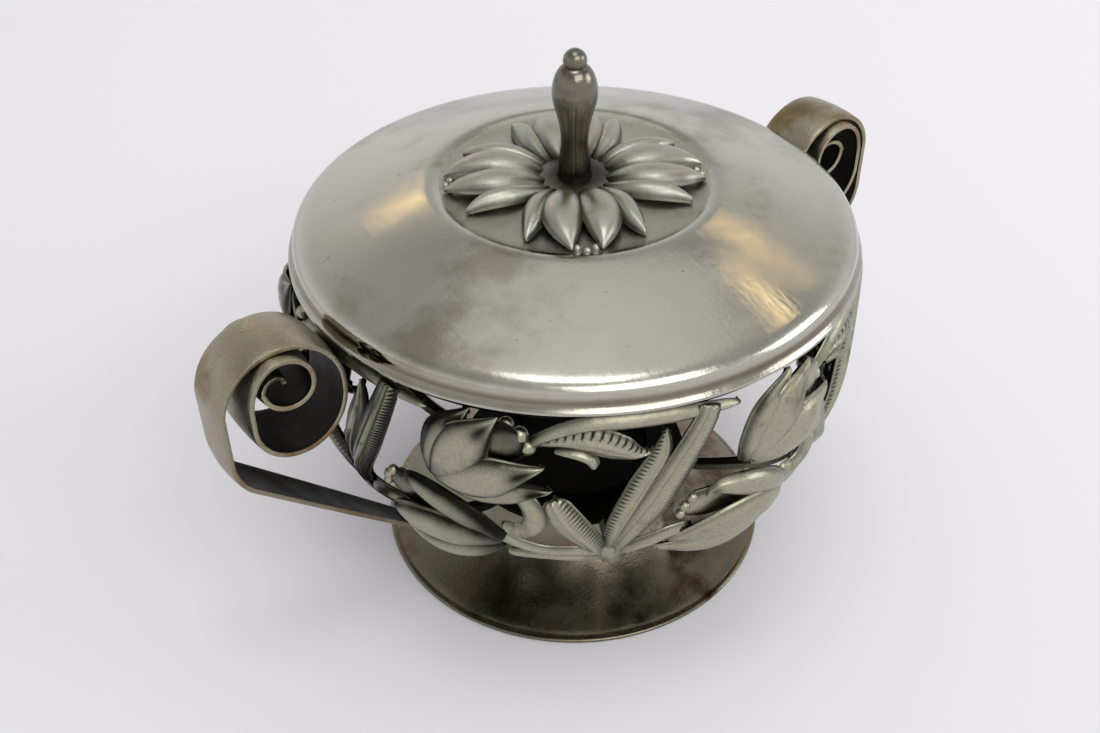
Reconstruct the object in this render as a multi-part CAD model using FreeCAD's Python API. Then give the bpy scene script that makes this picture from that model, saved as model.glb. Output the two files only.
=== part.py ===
import FreeCAD, Part
import os
from math import atan2, cos, pi, radians, sin, sqrt

# A covered sugar bowl in openwork silver: a trumpet foot, a basket of tulips and leaves
# in six equal repeats, two scroll handles and a lift-off lid with a tulip rosette and knob.
# Millimetres and degrees. Origin at the centre of the foot's underside, +Z up,
# handles along X. An azimuth is 0 towards -Y and grows towards +X.

# Foot
foot_height = 18.0
foot_lip_radius = 45.7
foot_lip_height = 1.1
foot_lip_width = 2.2
foot_sheet = 1.0
foot_waist_radius = 23.5
foot_flange_radius = 44.6
foot_flare_radius = 30.5
foot_flare_height = 8.4

# Floor of the basket and the low ring that locates a glass liner
floor_radius = 26.5
floor_sheet = 1.2
liner_ring_radius = 19.2
liner_ring_width = 1.4
liner_ring_height = 1.8

# Basket wall: a quarter of an ellipse below, a straight side above
belly_radius = 57.6
belly_height = 56.0
belly_dip = 0.5
belly_inset = 6.2
wall_sheet = 1.3
motif_count = 6
motif_turn = -30.0
leaf_rise = 1.8
leaf_depth = 0.7
petal_rise = 1.9
petal_flat = 0.45

# Ring that ties the tops of the openwork and carries the lid
rim_height = 79.4
rim_ring_height = 2.0
rim_ring_width = 1.8

# Lid
lid_seat_gap = 0.1
lid_sheet = 0.9
lid_overhang = 2.4
lid_lip_radius = belly_radius + lid_overhang
lid_lip_height = 0.7
lid_crease_inset = 1.1
lid_crease_height = 2.4
lid_bead_inset = 2.1
lid_bead_height = 5.2
lid_shoulder_inset = 5.2
lid_shoulder_height = 6.8
lid_flank_height = 10.9
lid_dome_height = 14.0
recess_radius = 29.0
recess_depth = 1.5
recess_step = 0.6
recess_crown = 0.8
bezel_depth = 2.2
bezel_sheet = 0.8
bezel_clearance = 0.4

# Tulip heads of the lid rosette
rosette_count = 4
rosette_turn = -33.0
rosette_rise = 2.6
rosette_depth = 1.2

# Knob, its ball, stud and nut
knob_height = 28.2
knob_base_radius = 3.7
knob_neck_radius = 2.8
knob_neck_height = 8.0
knob_belly_radius = 4.7
knob_belly_height = 19.2
knob_shoulder_radius = 3.3
knob_shoulder_height = 23.7
knob_collar_radius = 1.9
knob_ball_radius = 2.4
stud_radius = 1.5
stud_clearance = 0.2
stud_length = 5.0
nut_across_flats = 5.5
nut_height = 2.2
nut_gap = 0.15
nut_sides = 6

# Steps along each curve of a spun profile
arc_steps = 5

# Scroll handles: a strap rising from the basket, then a volute of half turns
handle_sheet = 1.3
handle_crown = 0.5
handle_toe_height = 24.0
handle_toe_lift = 3.0
handle_toe_length = 6.6
handle_toe_rise = 0.9
handle_projection = 24.9
handle_reach = lid_lip_radius + handle_projection
handle_corner_height = 57.8
handle_corner_radius = 12.9
volute_height = 73.2
volute_radii = [12.6, 10.2, 7.0, 5.2, 2.9]
volute_rises = [0.0, -2.1, 6.3, -0.6, -0.8]
handle_half_widths = [2.9, 4.3, 5.4, 6.3, 7.0, 7.9, 8.3, 7.6, 6.4, 5.4, 4.4]
strap_steps = 5
corner_steps = 4
half_turn_steps = 9

os.makedirs("parts", exist_ok=True)
AXIS = FreeCAD.Vector(0, 0, 1)
CENTRE = FreeCAD.Vector(0, 0, 0)


def vec(x, y, z):
    return FreeCAD.Vector(x, y, z)


def polar(radius, azimuth, height):
    angle = radians(azimuth)
    return vec(radius * sin(angle), -radius * cos(angle), height)


def turned(shape, azimuth):
    copy = shape.copy()
    copy.rotate(CENTRE, AXIS, azimuth)
    return copy


def revolved(edges):
    return Part.Face(Part.Wire(edges)).revolve(CENTRE, AXIS, 360)


def arc(start, middle, end):
    """Corners along an arc, so that a spun profile is a stack of short cones."""
    return Part.Arc(start, middle, end).discretize(Number=arc_steps + 1)


def spun(corners):
    return revolved(Part.makePolygon(corners + corners[:1]).Edges)


def ring(inner, outer, bottom, top):
    body = Part.makeCylinder(outer, top - bottom, vec(0, 0, bottom))
    return body.cut(Part.makeCylinder(inner, top - bottom, vec(0, 0, bottom)))


# Basket wall
belly_depth = belly_height - foot_height - floor_sheet + belly_dip
belly_width = belly_radius - floor_radius + belly_inset


def wall_frame(azimuth, height, lift):
    """Point at a lift off the wall's middle surface, with the wall's outward normal there."""
    drop = max(belly_height - height, 0) / belly_depth
    run = sqrt(1 - drop ** 2)
    point = polar(belly_radius - belly_width * (1 - run), azimuth, height)
    outward = polar(run / belly_width, azimuth, -drop / belly_depth).normalize()
    return point + outward * lift, outward


def blade(frames, half_widths, rise, hollow, ridges):
    """A leaf or petal: crowned sections set across a midline of (point, outward) frames.

    One ridge gives a leaf its keel, two ridges give a petal its rounded back.
    """
    widest = max(half_widths)
    last = len(frames) - 1
    sections = []
    for index, (point, outward) in enumerate(frames):
        along = frames[min(index + 1, last)][0] - frames[max(index - 1, 0)][0]
        side = along.cross(outward).normalize()
        half = half_widths[index]
        fullness = sqrt(half / widest)
        crown = point + outward * rise * fullness
        if ridges == 1:
            top = [crown]
        else:
            top = [crown - side * half * petal_flat, crown + side * half * petal_flat]
        back = point + outward * hollow * fullness
        corners = [point - side * half] + top + [point + side * half, back]
        sections.append(Part.makePolygon(corners + corners[:1]))
    return Part.makeLoft(sections, True, True)


def leaf(stations, rise=leaf_rise, ridges=1):
    """Stations are (azimuth from the motif's root, height, lift off the wall, half width).

    Heights are percentages of the basket's height, lifts and half widths of the belly's radius.
    """
    basket_foot = foot_height + floor_sheet
    basket_height = rim_height - basket_foot
    frames = [
        wall_frame(azimuth, basket_foot + height * basket_height / 100, lift * belly_radius / 100)
        for azimuth, height, lift, half in stations
    ]
    half_widths = [half * belly_radius / 100 for azimuth, height, lift, half in stations]
    return blade(frames, half_widths, rise, -leaf_depth, ridges)


def joined(pieces):
    return pieces[0].multiFuse(pieces[1:]).removeSplitter()


# One repeat of the openwork, as midlines on the wall
leaf_stations = {
    "root": [(9, -0.2, 0.7, 3.8), (5, 9.6, 0.3, 4.2), (2, 19.6, 0.3, 5.2), (0, 32.9, 0.3, 6.2),
        (0.5, 39.5, 0.3, 4.5)],
    "long_leaf": [(0, 31.2, 0.3, 3.1), (3, 46.2, 1.0, 4.9), (8, 61.1, 1.7, 6.2), (13.5, 77.7, 2.4, 6.1),
        (17.5, 91.0, 2.8, 4.3), (18.5, 96.8, 2.1, 2.1)],
    "short_leaf": [(-0.5, 34.6, 0.0, 2.1), (1.5, 51.2, 0.5, 3.5), (5.5, 66.1, 1.0, 4.0),
        (9, 79.4, 1.6, 3.3), (9.8, 88.5, 1.6, 0.9)],
    "left_leaf": [(-1, 31.2, 0.0, 2.6), (-4.5, 44.5, 0.5, 4.5), (-9, 56.1, 0.9, 5.6),
        (-12, 66.9, 1.0, 3.3)],
    "low_leaf": [(1.5, 32.9, -0.3, 2.4), (7, 37.9, 0.0, 3.3), (12, 42.0, 0.3, 2.8), (17, 42.9, 0.3, 1.7)],
    "upper_stem": [(-0.5, 33.7, 0.0, 1.7), (-6, 37.0, 0.7, 2.1), (-14, 37.5, 1.0, 2.1),
        (-21, 42.9, 1.0, 2.3), (-25, 45.3, 0.7, 1.7)],
    "lower_stem": [(0, 28.7, 0.0, 2.1), (-8, 32.1, 0.7, 2.4), (-15, 32.2, 0.7, 2.3), (-22, 28.7, 0.3, 1.7)],
    "curl_leaf": [(-15, 66.1, 1.0, 2.3), (-12.8, 58.6, 1.2, 4.0), (-13.4, 50.8, 1.2, 4.3),
        (-17.5, 46.7, 1.4, 3.3), (-21.5, 47.8, 0.5, 1.7)],
    "branch": [(-17, 83.6, 0.7, 1.7), (-12.5, 90.2, 1.0, 2.3), (-6, 94.9, 1.0, 2.8), (2, 95.5, 1.0, 3.0),
        (11, 94.7, 0.7, 3.0), (18, 93.7, 0.3, 2.6), (24.5, 91.7, 0.0, 2.1)],
    "hanging_leaf": [(-15, 84.9, 0.7, 1.6), (-9, 87.0, 1.6, 2.8), (-3, 88.0, 2.3, 4.5), (2, 84.7, 2.1, 4.0),
        (5.8, 81.7, 1.4, 0.9)],
    "hanging_curl": [(-10, 84.7, 0.9, 1.4), (-6, 83.1, 1.7, 2.1), (-4, 79.7, 2.1, 2.1),
        (-3.6, 76.4, 2.1, 1.6)],
}
upper_tulip_stations = {
    "outer_petal": [(-36, 66.9, 1.4, 2.1), (-36, 77.7, 3.1, 5.2), (-32.5, 88.5, 4.5, 5.4),
        (-28.3, 97.3, 5.9, 1.6)],
    "middle_petal": [(-34.5, 66.9, 2.8, 2.8), (-31.5, 76.1, 5.9, 7.8), (-26.5, 85.2, 6.6, 7.8),
        (-22, 94.4, 4.5, 1.6)],
    "front_petal": [(-34, 66.6, 2.8, 2.4), (-27.5, 67.8, 5.9, 7.5), (-21, 70.9, 6.6, 7.3),
        (-13.5, 76.6, 4.5, 1.4)],
    "under_petal": [(-33, 65.4, 1.7, 1.7), (-25, 63.8, 3.1, 3.8), (-17.5, 66.6, 3.5, 3.3),
        (-11.5, 66.4, 2.8, 1.2)],
    "heart": [(-34.5, 67.8, 1.0, 2.8), (-30, 72.8, 2.1, 5.2), (-24, 77.7, 2.6, 8.0),
        (-19.5, 82.7, 2.1, 5.9), (-17, 85.2, 1.4, 2.8)],
}
lower_tulip_stations = {
    "back_petal": [(-21.5, 43.2, 1.4, 2.4), (-26.5, 52.2, 3.1, 5.2), (-33, 57.8, 3.1, 5.2),
        (-39.5, 60.3, 2.1, 3.3), (-42, 57.1, 1.4, 1.4)],
    "middle_petal": [(-21.5, 41.2, 1.7, 2.8), (-28, 44.9, 5.2, 8.0), (-36, 44.9, 5.2, 8.7),
        (-44, 40.5, 3.1, 5.2), (-48.5, 37.2, 1.7, 1.4)],
    "front_petal": [(-21.5, 39.2, 1.4, 2.8), (-28, 34.6, 3.8, 6.9), (-36, 30.9, 3.8, 8.2),
        (-45, 31.2, 2.1, 5.0), (-51, 32.2, 1.0, 1.2)],
}


def petals(stations):
    return [leaf(petal, petal_rise, 2) for petal in stations.values()]


# Rings and foot
rim_outer_radius = belly_radius + wall_sheet / 4
rim_ring = ring(rim_outer_radius - rim_ring_width, rim_outer_radius, rim_height - rim_ring_height, rim_height)
floor_top = foot_height + floor_sheet
floor_plate = Part.makeCylinder(floor_radius, floor_sheet, vec(0, 0, foot_height))
liner_ring = ring(
    liner_ring_radius - liner_ring_width, liner_ring_radius, floor_top, floor_top + liner_ring_height
)
foot_wire = ring(foot_lip_radius - foot_lip_width, foot_lip_radius, 0, foot_lip_height)


def foot_arc(offset):
    """The flare's ends and middle, moved in by an offset along the sheet's normal."""
    slope = atan2(foot_height - foot_flare_height, foot_flare_radius - foot_waist_radius)
    start = vec(foot_waist_radius - offset, 0, foot_height)
    middle = vec(foot_flare_radius - offset * sin(slope), 0, foot_flare_height - offset * cos(slope))
    end = vec(foot_flange_radius - offset, 0, foot_lip_height)
    return start, middle, end


outer_start, outer_middle, outer_end = foot_arc(0)
inner_start, inner_middle, inner_end = foot_arc(foot_sheet)
foot_shell = spun(arc(outer_start, outer_middle, outer_end) + arc(inner_end, inner_middle, inner_start))

# Openwork
leaf_panel = joined([leaf(stations) for stations in leaf_stations.values()]).cut(floor_plate).cut(rim_ring)
neighbours = [turned(leaf_panel, step * 360 / motif_count) for step in (-1, 0)]
lower_tulip = joined(petals(lower_tulip_stations)).cut(neighbours[0]).cut(neighbours[1])
upper_tulip = joined(petals(upper_tulip_stations)).cut(neighbours[0]).cut(neighbours[1])
upper_tulip = upper_tulip.cut(lower_tulip).cut(rim_ring)

# Scroll handle
def handle_path():
    """Stations of (point, outward) along the strap and round the volute, in the XZ plane."""
    toe = wall_frame(90, handle_toe_height, handle_toe_lift)[0]
    knee = toe + vec(handle_toe_length, 0, handle_toe_rise)
    corner = vec(handle_reach, 0, handle_corner_height)
    toe_slope = atan2(handle_toe_rise, handle_toe_length)
    run = corner - knee
    slope = atan2(run.z, run.x)
    setback = handle_corner_radius * (1 - sin(slope)) / cos(slope)
    stations = [(toe, vec(sin(toe_slope), 0, -cos(toe_slope)))]
    for step in range(strap_steps + 1):
        point = knee + run * (step / strap_steps * (1 - setback / run.Length))
        stations.append((point, vec(sin(slope), 0, -cos(slope))))
    centre = vec(handle_reach - handle_corner_radius, 0, corner.z + setback)
    for step in range(1, corner_steps + 1):
        angle = (slope - pi / 2) * (1 - step / corner_steps)
        outward = vec(cos(angle), 0, sin(angle))
        stations.append((centre + outward * handle_corner_radius, outward))
    radius_end = handle_reach
    height = volute_height
    side = 1
    for radius, rise in zip(volute_radii, volute_rises):
        height = height + rise
        centre = vec(radius_end - side * radius, 0, height)
        for step in range(half_turn_steps + 1):
            angle = pi * step / half_turn_steps
            outward = vec(side * cos(angle), 0, side * sin(angle))
            if step or rise:
                stations.append((centre + outward * radius, outward))
        radius_end = radius_end - side * 2 * radius
        side = -side
    return stations


def width_at(share):
    """Half width at a share of the handle's length."""
    place = share * (len(handle_half_widths) - 1)
    index = min(int(place), len(handle_half_widths) - 2)
    start, end = handle_half_widths[index:index + 2]
    return start + (end - start) * (place - index)


def handle():
    """A crowned strap, widest at the top of the loop and narrow at both ends."""
    stations = handle_path()
    lengths = [0.0]
    for before, after in zip(stations, stations[1:]):
        lengths.append(lengths[-1] + (after[0] - before[0]).Length)
    sections = []
    for (point, outward), length in zip(stations, lengths):
        half = width_at(length / lengths[-1])
        corners = [
            point + vec(0, -half, 0),
            point + outward * handle_crown,
            point + vec(0, half, 0),
        ]
        inner = [corner - outward * handle_sheet for corner in reversed(corners)]
        sections.append(Part.makePolygon(corners + inner + corners[:1]))
    return Part.makeLoft(sections, True, True)


# The sprays behind the handles are dressed flat where the volutes bear on them
volute_edge = handle_reach - 2 * volute_radii[0]
bearing_half = max(handle_half_widths) + handle_sheet
bearing = Part.makeBox(
    handle_reach, 2 * bearing_half, rim_height - belly_height, vec(volute_edge, -bearing_half, belly_height)
)
panels = {}
for index in range(motif_count):
    panel = turned(leaf_panel, motif_turn + index * 360 / motif_count)
    dressed = panel.cut(bearing).cut(turned(bearing, 180))
    panels[f"leaf_panel_{index + 1}"] = max(dressed.Solids, key=lambda solid: solid.Volume)
handle_right = handle()
for panel in panels.values():
    if handle_right.BoundBox.intersect(panel.BoundBox):
        handle_right = handle_right.cut(panel)

# Lid
lid_base = rim_height + lid_seat_gap
recess_edge = lid_base + lid_dome_height
recess_floor = recess_edge - recess_depth
lid_flank_radius = (lid_lip_radius - lid_shoulder_inset + recess_radius) / 2


def lid_points(sheet):
    """Outline of the lid's sheet from the lip to the middle, moved in by a sheet's thickness."""
    return [
        vec(lid_lip_radius - sheet, 0, lid_base),
        vec(lid_lip_radius - sheet, 0, lid_base + lid_lip_height),
        vec(lid_lip_radius - lid_crease_inset - sheet, 0, lid_base + lid_crease_height),
        vec(lid_lip_radius - lid_bead_inset - sheet, 0, lid_base + lid_bead_height - sheet / 2),
        vec(lid_lip_radius - lid_shoulder_inset, 0, lid_base + lid_shoulder_height - sheet),
        vec(lid_flank_radius, 0, lid_base + lid_flank_height - sheet),
        vec(recess_radius + sheet, 0, recess_edge - sheet),
        vec(recess_radius - recess_step + sheet, 0, recess_floor - sheet),
        vec(0, 0, recess_floor + recess_crown - sheet),
    ]


def lid_outline(sheet):
    lip, edge, crease, bead, shoulder, flank, brim, step, middle = lid_points(sheet)
    return [lip, edge] + arc(crease, bead, shoulder) + arc(shoulder, flank, brim)[1:] + [step, middle]


stud_hole = Part.makeCylinder(stud_radius + stud_clearance, 2 * recess_depth + 2 * lid_sheet,
                              vec(0, 0, recess_floor - recess_depth - lid_sheet))
lid_shell = spun(lid_outline(0) + lid_outline(lid_sheet)[::-1]).cut(stud_hole)

# The bezel: a flat seat inside the lip, and a short flange that drops inside the rim ring
flange_outer = rim_outer_radius - rim_ring_width - bezel_clearance
bezel = ring(flange_outer - bezel_sheet, lid_lip_radius - lid_sheet, lid_base, lid_base + bezel_sheet)
flange = ring(flange_outer - bezel_sheet, flange_outer, lid_base - bezel_depth, lid_base)
bezel = bezel.fuse(flange).removeSplitter().cut(lid_shell)


def rosette_frame(azimuth, radius, lift):
    """Point above the recess floor, with the floor's upward normal."""
    height = recess_floor + recess_crown * (1 - radius / recess_radius)
    return polar(radius, azimuth, height + lift), AXIS


def rosette_petal(stations):
    """Stations are (azimuth from the flower's middle, radius, lift off the floor, half width).

    All but the azimuth are percentages of the recess's radius.
    """
    percent = recess_radius / 100
    frames = [
        rosette_frame(azimuth, radius * percent, lift * percent)
        for azimuth, radius, lift, half in stations
    ]
    half_widths = [half * percent for azimuth, radius, lift, half in stations]
    return blade(frames, half_widths, rosette_rise, -rosette_depth, 2)


rosette_stations = [
    [(-6, 20.7, 2.1, 5.2), (-14, 37.9, 3.4, 11.4), (-13, 58.6, 3.8, 12.4), (-8.5, 81.0, 2.8, 7.9),
     (-5.5, 97.2, 0.7, 1.4)],
    [(6, 20.7, 2.1, 5.2), (14, 37.9, 3.4, 11.4), (13, 58.6, 3.8, 12.4), (9.5, 81.0, 2.8, 7.9),
     (7, 97.2, 0.7, 1.4)],
    [(-34, 29.3, 1.4, 3.4), (-34, 50.0, 2.1, 7.2), (-27, 70.7, 1.7, 6.6), (-25, 91.4, 1.4, 3.1)],
    [(34, 29.3, 1.4, 3.4), (34, 50.0, 2.1, 7.2), (28, 70.7, 1.7, 6.6), (28, 91.4, 1.4, 3.1)],
]
lid_tulip = joined([rosette_petal(stations) for stations in rosette_stations]).cut(lid_shell)

# Knob
knob_base = recess_floor + recess_crown
knob_top = knob_base + knob_height
ball_middle = knob_top - knob_ball_radius
collar_height = ball_middle - sqrt(knob_ball_radius ** 2 - knob_collar_radius ** 2)
waist_radius = (knob_neck_radius + knob_belly_radius) / 2
waist_height = knob_base + (knob_neck_height + knob_belly_height) / 2
base_edge = vec(knob_base_radius, 0, knob_base)
neck = vec(knob_neck_radius, 0, knob_base + knob_neck_height)
waist = vec(waist_radius, 0, waist_height)
belly = vec(knob_belly_radius, 0, knob_base + knob_belly_height)
shoulder = vec(knob_shoulder_radius, 0, knob_base + knob_shoulder_height)
collar = vec(knob_collar_radius, 0, collar_height)
stud_end = knob_base - stud_length
knob = spun(
    [vec(0, 0, stud_end), vec(stud_radius, 0, stud_end), vec(stud_radius, 0, knob_base)]
    + arc(base_edge, neck, waist)
    + arc(waist, belly, shoulder)[1:]
    + [collar, vec(0, 0, collar_height)]
)
ball_side = vec(sqrt(knob_ball_radius ** 2 - (ball_middle - collar_height) ** 2), 0, collar_height)
knob_ball = spun(arc(ball_side, vec(knob_ball_radius, 0, ball_middle), vec(0, 0, knob_top))
                 + [vec(0, 0, collar_height)])

nut_top = knob_base - lid_sheet - nut_gap
nut_corner_radius = nut_across_flats / 2 / cos(pi / nut_sides)
hexagon = Part.makePolygon([polar(nut_corner_radius, 360 / nut_sides * corner, nut_top)
                            for corner in range(nut_sides + 1)])
knob_nut = Part.Face(hexagon).extrude(vec(0, 0, -nut_height))
knob_nut = knob_nut.cut(Part.makeCylinder(stud_radius, nut_height, vec(0, 0, nut_top - nut_height)))

# Nodes
nodes = {
    **panels,
    "foot_shell": foot_shell,
    "foot_wire": foot_wire,
    "floor_plate": floor_plate,
    "liner_ring": liner_ring,
    "rim_ring": rim_ring,
    "handle_right": handle_right,
    "handle_left": turned(handle_right, 180),
    "lid_shell": lid_shell,
    "lid_bezel": bezel,
    "knob": knob,
    "knob_ball": knob_ball,
    "knob_nut": knob_nut,
}
for index in range(motif_count):
    azimuth = motif_turn + index * 360 / motif_count
    nodes[f"upper_tulip_{index + 1}"] = turned(upper_tulip, azimuth)
    nodes[f"lower_tulip_{index + 1}"] = turned(lower_tulip, azimuth)
for index in range(rosette_count):
    nodes[f"lid_tulip_{index + 1}"] = turned(lid_tulip, rosette_turn + index * 360 / rosette_count)

for name, shape in nodes.items():
    shape.exportStep(f"parts/{name}.step")
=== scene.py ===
import math

import bmesh
import bpy
from mathutils import Matrix, Vector


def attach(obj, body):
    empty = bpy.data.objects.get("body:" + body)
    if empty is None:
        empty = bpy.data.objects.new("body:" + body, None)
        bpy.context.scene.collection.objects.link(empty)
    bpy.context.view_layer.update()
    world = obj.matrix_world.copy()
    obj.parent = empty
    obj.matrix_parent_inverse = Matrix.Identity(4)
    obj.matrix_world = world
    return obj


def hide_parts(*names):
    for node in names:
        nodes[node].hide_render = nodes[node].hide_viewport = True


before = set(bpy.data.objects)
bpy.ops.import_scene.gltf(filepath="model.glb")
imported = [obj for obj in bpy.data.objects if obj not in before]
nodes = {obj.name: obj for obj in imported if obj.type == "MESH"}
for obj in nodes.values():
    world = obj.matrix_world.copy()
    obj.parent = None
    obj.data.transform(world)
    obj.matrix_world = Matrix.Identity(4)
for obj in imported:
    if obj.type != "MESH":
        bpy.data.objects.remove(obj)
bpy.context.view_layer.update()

mm = 0.001
up = Vector((0, 0, 1))
tau = 2 * math.pi
print("frame loaded,", len(nodes), "nodes")


# camera

viewer = {
    "distance": 0.28297,
    "aimHeight": 0.055,
    "azimuth": -37.73,
    "elevation": 36.84,
    "tilt": -1.914,
    "pan": 1.066,
    "roll": 0.298,
    "lens": 41.25,
}


def addCamera(look):
    data = bpy.data.cameras.new("viewerCamera")
    data.lens = look["lens"]
    data.clip_start = 0.01
    camera = bpy.data.objects.new("viewerCamera", data)
    bpy.context.scene.collection.objects.link(camera)
    turn = Matrix.Rotation(math.radians(look["azimuth"]), 3, "Z")
    stand = turn @ Matrix.Rotation(math.radians(90 - look["elevation"]), 3, "X")
    head = (
        Matrix.Rotation(math.radians(look["tilt"]), 3, "X")
        @ Matrix.Rotation(math.radians(look["pan"]), 3, "Y")
        @ Matrix.Rotation(math.radians(look["roll"]), 3, "Z")
    )
    place = Vector((0, 0, look["aimHeight"])) + stand @ Vector((0, 0, look["distance"]))
    camera.matrix_world = Matrix.Translation(place) @ (stand @ head).to_4x4()
    bpy.context.scene.camera = camera


addCamera(viewer)
print("camera placed")


# table, backdrop and lamps

studio = {
    "tableSize": 6.0,
    # painted light and shade: the table is coloured darker at its near end and lighter at its far end
    "tableNearPaintedShade": (0.80, 0.78, 0.82),
    "tableFarPaintedLight": (0.93, 0.925, 0.97),
    "gradientNear": -0.15,
    "gradientFar": 0.45,
    "gradientTurn": 38.0,
    "lampAim": (0, 0, 0.07),
    # brightness of the room by height: 0 is straight down, 0.5 the horizon and 1 overhead
    "room": [(0.0, (0.80, 0.80, 0.82)), (0.54, (0.86, 0.86, 0.89)), (0.64, (0.84, 0.84, 0.87)),
             (0.74, (0.66, 0.66, 0.67)), (0.86, (0.42, 0.42, 0.43)), (0.93, (0.50, 0.50, 0.51)),
             (1.0, (0.66, 0.66, 0.67))],
}
lamps = {
    "overheadLamp": {"azimuth": 135, "elevation": 76, "distance": 1.3, "width": 0.95, "depth": 0.95,
                     "power": 0.8, "color": (1.0, 0.99, 0.97)},
    "topLamp": {"azimuth": -38, "elevation": 82, "distance": 1.2, "width": 0.5, "depth": 0.34, "power": 1.7,
                "color": (1.0, 1.0, 1.0)},
    "frontLamp": {"azimuth": -10, "elevation": 46, "distance": 1.4, "width": 1.0, "depth": 0.7, "power": 6.4,
                  "color": (1.0, 0.985, 0.96)},
    "sideLamp": {"azimuth": 52, "elevation": 24, "distance": 1.3, "width": 0.6, "depth": 0.5, "power": 2.8,
                 "color": (0.96, 0.98, 1.0)},
    "leftGlow": {"azimuth": 168, "elevation": 34, "distance": 1.3, "width": 0.30, "depth": 0.014,
                 "power": 0.15, "color": (1.0, 0.66, 0.25)},
    "rightGlow": {"azimuth": 111, "elevation": 42, "distance": 1.3, "width": 0.34, "depth": 0.014,
                  "power": 0.14, "color": (1.0, 0.66, 0.25)},
    "farGlow": {"azimuth": 94, "elevation": 50, "distance": 1.3, "width": 0.34, "depth": 0.014,
                "power": 0.14, "color": (1.0, 0.72, 0.35)},
}


def aroundTable(azimuth, elevation, distance):
    flat = math.cos(math.radians(elevation)) * distance
    return Vector((math.sin(math.radians(azimuth)) * flat, -math.cos(math.radians(azimuth)) * flat,
                   math.sin(math.radians(elevation)) * distance))


def makeTableMaterial(look):
    mat = bpy.data.materials.new("paleTable")
    mat.use_nodes = True
    tree = mat.node_tree
    shader = tree.nodes["Principled BSDF"]
    shader.inputs["Roughness"].default_value = 0.9
    shader.inputs["Specular IOR Level"].default_value = 0.1
    coords = tree.nodes.new("ShaderNodeTexCoord")
    turn = tree.nodes.new("ShaderNodeMapping")
    turn.inputs["Rotation"].default_value = (0, 0, math.radians(look["gradientTurn"]))
    split = tree.nodes.new("ShaderNodeSeparateXYZ")
    ramp = tree.nodes.new("ShaderNodeValToRGB")
    span = tree.nodes.new("ShaderNodeMapRange")
    span.inputs["From Min"].default_value = look["gradientNear"]
    span.inputs["From Max"].default_value = look["gradientFar"]
    # painted light and shade: the ramp runs the table from the darker near colour to the lighter far colour
    ramp.color_ramp.elements[0].color = look["tableNearPaintedShade"] + (1,)
    ramp.color_ramp.elements[1].color = look["tableFarPaintedLight"] + (1,)
    tree.links.new(coords.outputs["Object"], turn.inputs["Vector"])
    tree.links.new(turn.outputs["Vector"], split.inputs["Vector"])
    tree.links.new(split.outputs["Y"], span.inputs["Value"])
    tree.links.new(span.outputs["Result"], ramp.inputs["Fac"])
    tree.links.new(ramp.outputs["Color"], shader.inputs["Base Color"])
    return mat


def addTable(look):
    mesh = bpy.data.meshes.new("paleTable")
    bm = bmesh.new()
    bmesh.ops.create_grid(bm, x_segments=1, y_segments=1, size=look["tableSize"] / 2)
    bm.to_mesh(mesh)
    bm.free()
    table = bpy.data.objects.new("paleTable", mesh)
    bpy.context.scene.collection.objects.link(table)
    mesh.materials.append(makeTableMaterial(look))


def addWorld(look):
    world = bpy.data.worlds.new("studioWorld")
    bpy.context.scene.world = world
    world.use_nodes = True
    tree = world.node_tree
    direction = tree.nodes.new("ShaderNodeTexCoord")
    split = tree.nodes.new("ShaderNodeSeparateXYZ")
    height = tree.nodes.new("ShaderNodeMapRange")
    height.inputs["From Min"].default_value = -1.0
    ramp = tree.nodes.new("ShaderNodeValToRGB")
    stops = ramp.color_ramp.elements
    for index, (place, color) in enumerate(look["room"]):
        stop = stops[index] if index < 2 else stops.new(place)
        stop.position = place
        stop.color = color + (1,)
    air = tree.nodes["Background"]
    tree.links.new(direction.outputs["Generated"], split.inputs["Vector"])
    tree.links.new(split.outputs["Z"], height.inputs["Value"])
    tree.links.new(height.outputs["Result"], ramp.inputs["Fac"])
    tree.links.new(ramp.outputs["Color"], air.inputs["Color"])


def addLamp(name, look):
    data = bpy.data.lights.new(name, "AREA")
    data.shape = "RECTANGLE"
    data.size = look["width"]
    data.size_y = look["depth"]
    data.energy = look["power"]
    data.color = look["color"]
    lamp = bpy.data.objects.new(name, data)
    lamp.location = aroundTable(look["azimuth"], look["elevation"], look["distance"])
    lamp.rotation_euler = (lamp.location - Vector(studio["lampAim"])).to_track_quat("Z", "Y").to_euler()
    bpy.context.scene.collection.objects.link(lamp)


addTable(studio)
addWorld(studio)
for lampName, lampLook in lamps.items():
    addLamp(lampName, lampLook)
bpy.context.scene.view_settings.view_transform = "Standard"
print("studio ready")


# silver finishes

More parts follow.
